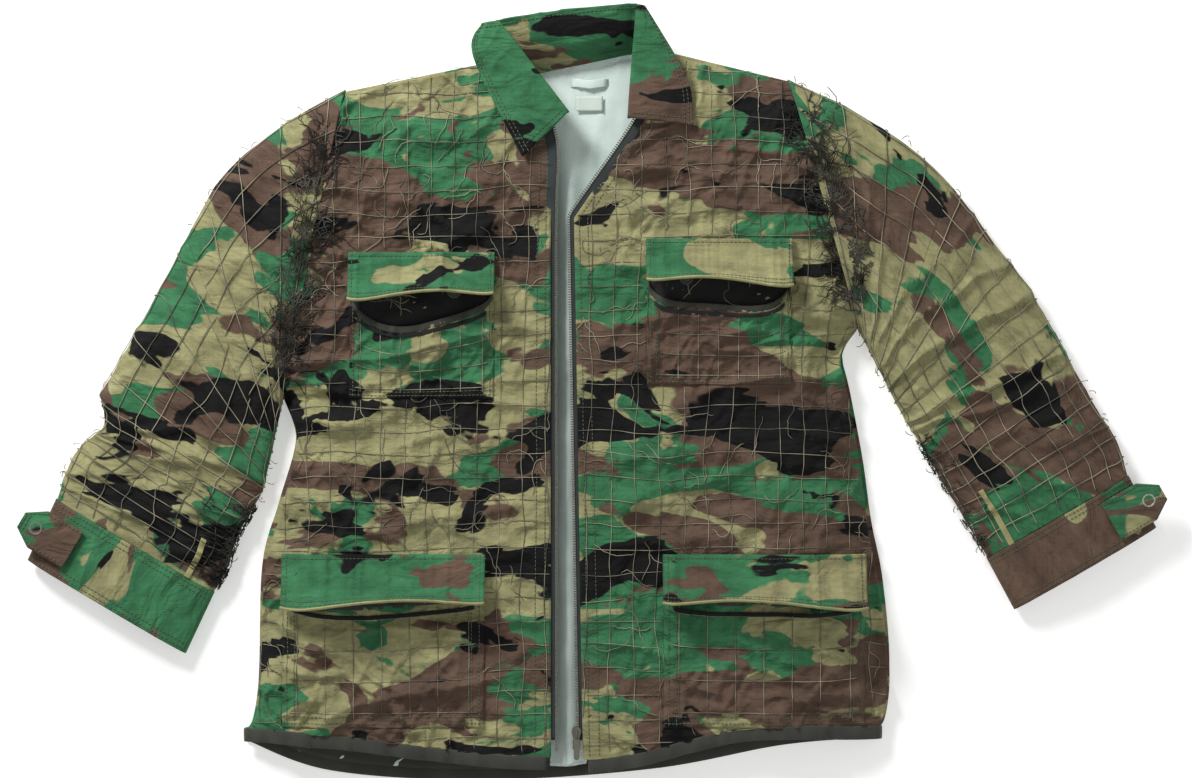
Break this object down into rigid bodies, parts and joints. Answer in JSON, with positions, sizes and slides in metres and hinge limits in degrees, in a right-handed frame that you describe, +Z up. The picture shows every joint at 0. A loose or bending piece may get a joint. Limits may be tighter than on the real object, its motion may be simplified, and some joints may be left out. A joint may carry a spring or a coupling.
{
  "type": "ghillie suit jacket",
  "caption": "Netted woodland camouflage field coat of a ghillie suit, laid on its back, with an open front zip, flap pockets, folding collar and buttoned cuffs.",
  "frame": {"origin": "under the middle of the coat as it lies, on the floor", "axes": "+X toward the wearer's left sleeve, +Y toward the collar, +Z up from the floor, away from the coat's back"},
  "size_m": [1.1994, 0.813, 0.0701],
  "materials": {
    "woodland_cloth": "woven cotton and nylon ripstop, woodland print, matt",
    "binding": "dark woven binding, matt",
    "lining": "pale light woven lining",
    "netting": "knotted twine netting, grey brown",
    "zip_tape": "dark woven zip tape",
    "zip_metal": "dulled metal, brushed",
    "button": "moulded, olive",
    "snap": "pressed metal ring"
  },
  "bodies": {
    "coat_back": {"back_panel": "woodland_cloth", "back_netting": "netting", "back_lining": "lining", "back_hem_binding": "binding", "hanger_loop": "binding", "yoke_right": "woodland_cloth", "yoke_netting_right": "netting", "zip_top_right": "zip_tape", "yoke_left": "woodland_cloth", "yoke_netting_left": "netting", "zip_top_left": "zip_tape", "collar_back": "woodland_cloth"},
    "front_right": {"front_panel_right": "woodland_cloth", "front_netting_right": "netting", "front_lining_right": "lining", "front_hem_binding_right": "binding", "chest_pocket_right": "woodland_cloth", "chest_button_right_1": "button", "chest_button_right_2": "button", "lower_pocket_right": "woodland_cloth", "lower_button_right_1": "button", "lower_button_right_2": "button", "zip_tape_right": "zip_tape", "zip_teeth_right": "zip_metal", "zip_insertion_pin": "zip_metal"},
    "chest_right_flap": {"chest_flap_right": "woodland_cloth"},
    "lower_right_flap": {"lower_flap_right": "woodland_cloth"},
    "sleeve_right": {"sleeve_upper_right": "woodland_cloth", "sleeve_upper_netting_right": "netting"},
    "forearm_right": {"sleeve_forearm_right": "woodland_cloth", "sleeve_forearm_netting_right": "netting", "cuff_right": "woodland_cloth"},
    "cuff_tab_right": {"cuff_tab_right": "woodland_cloth", "cuff_snap_right": "snap"},
    "front_left": {"front_panel_left": "woodland_cloth", "front_netting_left": "netting", "front_lining_left": "lining", "front_hem_binding_left": "binding", "chest_pocket_left": "woodland_cloth", "chest_button_left_1": "button", "chest_button_left_2": "button", "lower_pocket_left": "woodland_cloth", "lower_button_left_1": "button", "lower_button_left_2": "button", "zip_tape_left": "zip_tape", "zip_teeth_left": "zip_metal", "zip_retainer_box": "zip_metal"},
    "chest_left_flap": {"chest_flap_left": "woodland_cloth"},
    "lower_left_flap": {"lower_flap_left": "woodland_cloth"},
    "sleeve_left": {"sleeve_upper_left": "woodland_cloth", "sleeve_upper_netting_left": "netting"},
    "forearm_left": {"sleeve_forearm_left": "woodland_cloth", "sleeve_forearm_netting_left": "netting", "cuff_left": "woodland_cloth"},
    "cuff_tab_left": {"cuff_tab_left": "woodland_cloth", "cuff_snap_left": "snap"},
    "zip_slider": {"zip_slider": "zip_metal"},
    "zip_pull": {"zip_pull": "zip_metal"},
    "collar_wing_right": {"collar_wing_right": "woodland_cloth"},
    "collar_wing_left": {"collar_wing_left": "woodland_cloth"}
  },
  "joints": [
    {"name": "front_right_lift", "type": "hinge", "parent": "coat_back", "child": "front_right", "pos_m": [-0.32727, -0.00149, 0.036], "axis": [-0.1068, -0.9943, 0], "range_deg": [0, 25]},
    {"name": "front_left_lift", "type": "hinge", "parent": "coat_back", "child": "front_left", "pos_m": [0.30073, 0.07051, 0.036], "axis": [-0.037, 0.9993, 0], "range_deg": [0, 25]},
    {"name": "chest_flap_right_lift", "type": "hinge", "parent": "front_right", "child": "chest_right_flap", "pos_m": [-0.17777, 0.14651, 0.04016], "axis": [-1, 0, 0], "range_deg": [0, 100]},
    {"name": "lower_flap_right_lift", "type": "hinge", "parent": "front_right", "child": "lower_right_flap", "pos_m": [-0.2177, -0.16799, 0.04312], "axis": [-1, 0, 0], "range_deg": [0, 80]},
    {"name": "chest_flap_left_lift", "type": "hinge", "parent": "front_left", "child": "chest_left_flap", "pos_m": [0.13223, 0.16051, 0.04016], "axis": [-1, 0, 0], "range_deg": [0, 100]},
    {"name": "lower_flap_left_lift", "type": "hinge", "parent": "front_left", "child": "lower_left_flap", "pos_m": [0.17798, -0.16799, 0.04312], "axis": [-1, 0, 0], "range_deg": [0, 80]},
    {"name": "collar_wing_right_turn", "type": "hinge", "parent": "coat_back", "child": "collar_wing_right", "pos_m": [-0.09777, 0.38751, 0.046], "axis": [-0.6, 0.8, 0], "range_deg": [0, 100]},
    {"name": "collar_wing_left_turn", "type": "hinge", "parent": "coat_back", "child": "collar_wing_left", "pos_m": [0.04623, 0.40451, 0.046], "axis": [-0.0592, -0.9982, 0], "range_deg": [0, 100]},
    {"name": "sleeve_right_fold", "type": "hinge", "parent": "coat_back", "child": "sleeve_right", "pos_m": [-0.26027, 0.31751, 0.0385], "axis": [0.1967, 0.9805, 0], "range_deg": [0, 50]},
    {"name": "sleeve_left_fold", "type": "hinge", "parent": "coat_back", "child": "sleeve_left", "pos_m": [0.20673, 0.32851, 0.0385], "axis": [0.2688, -0.9632, 0], "range_deg": [0, 50]},
    {"name": "forearm_right_fold", "type": "hinge", "parent": "sleeve_right", "child": "forearm_right", "pos_m": [-0.51427, -0.00249, 0.035], "axis": [-0.8584, 0.513, 0], "range_deg": [0, 30]},
    {"name": "forearm_left_fold", "type": "hinge", "parent": "sleeve_left", "child": "forearm_left", "pos_m": [0.47373, 0.08551, 0.035], "axis": [-0.798, -0.6026, 0], "range_deg": [0, 30]},
    {"name": "cuff_tab_right_lift", "type": "hinge", "parent": "forearm_right", "child": "cuff_tab_right", "pos_m": [-0.54184, -0.16286, 0.031], "axis": [0.5091, 0.8607, 0], "range_deg": [0, 150]},
    {"name": "cuff_tab_left_lift", "type": "hinge", "parent": "forearm_left", "child": "cuff_tab_left", "pos_m": [0.5416, -0.13352, 0.031], "axis": [0.5006, -0.8657, 0], "range_deg": [0, 150]},
    {"name": "zip_slider_slide", "type": "slide", "parent": "front_left", "child": "zip_slider", "axis": [-0.0179, 0.9998, 0], "range_m": [0, 0.46]},
    {"name": "zip_pull_turn", "type": "hinge", "parent": "zip_slider", "child": "zip_pull", "pos_m": [-0.01629, -0.35301, 0.03905], "axis": [-1, 0, 0], "range_deg": [0, 165]}
  ]
}
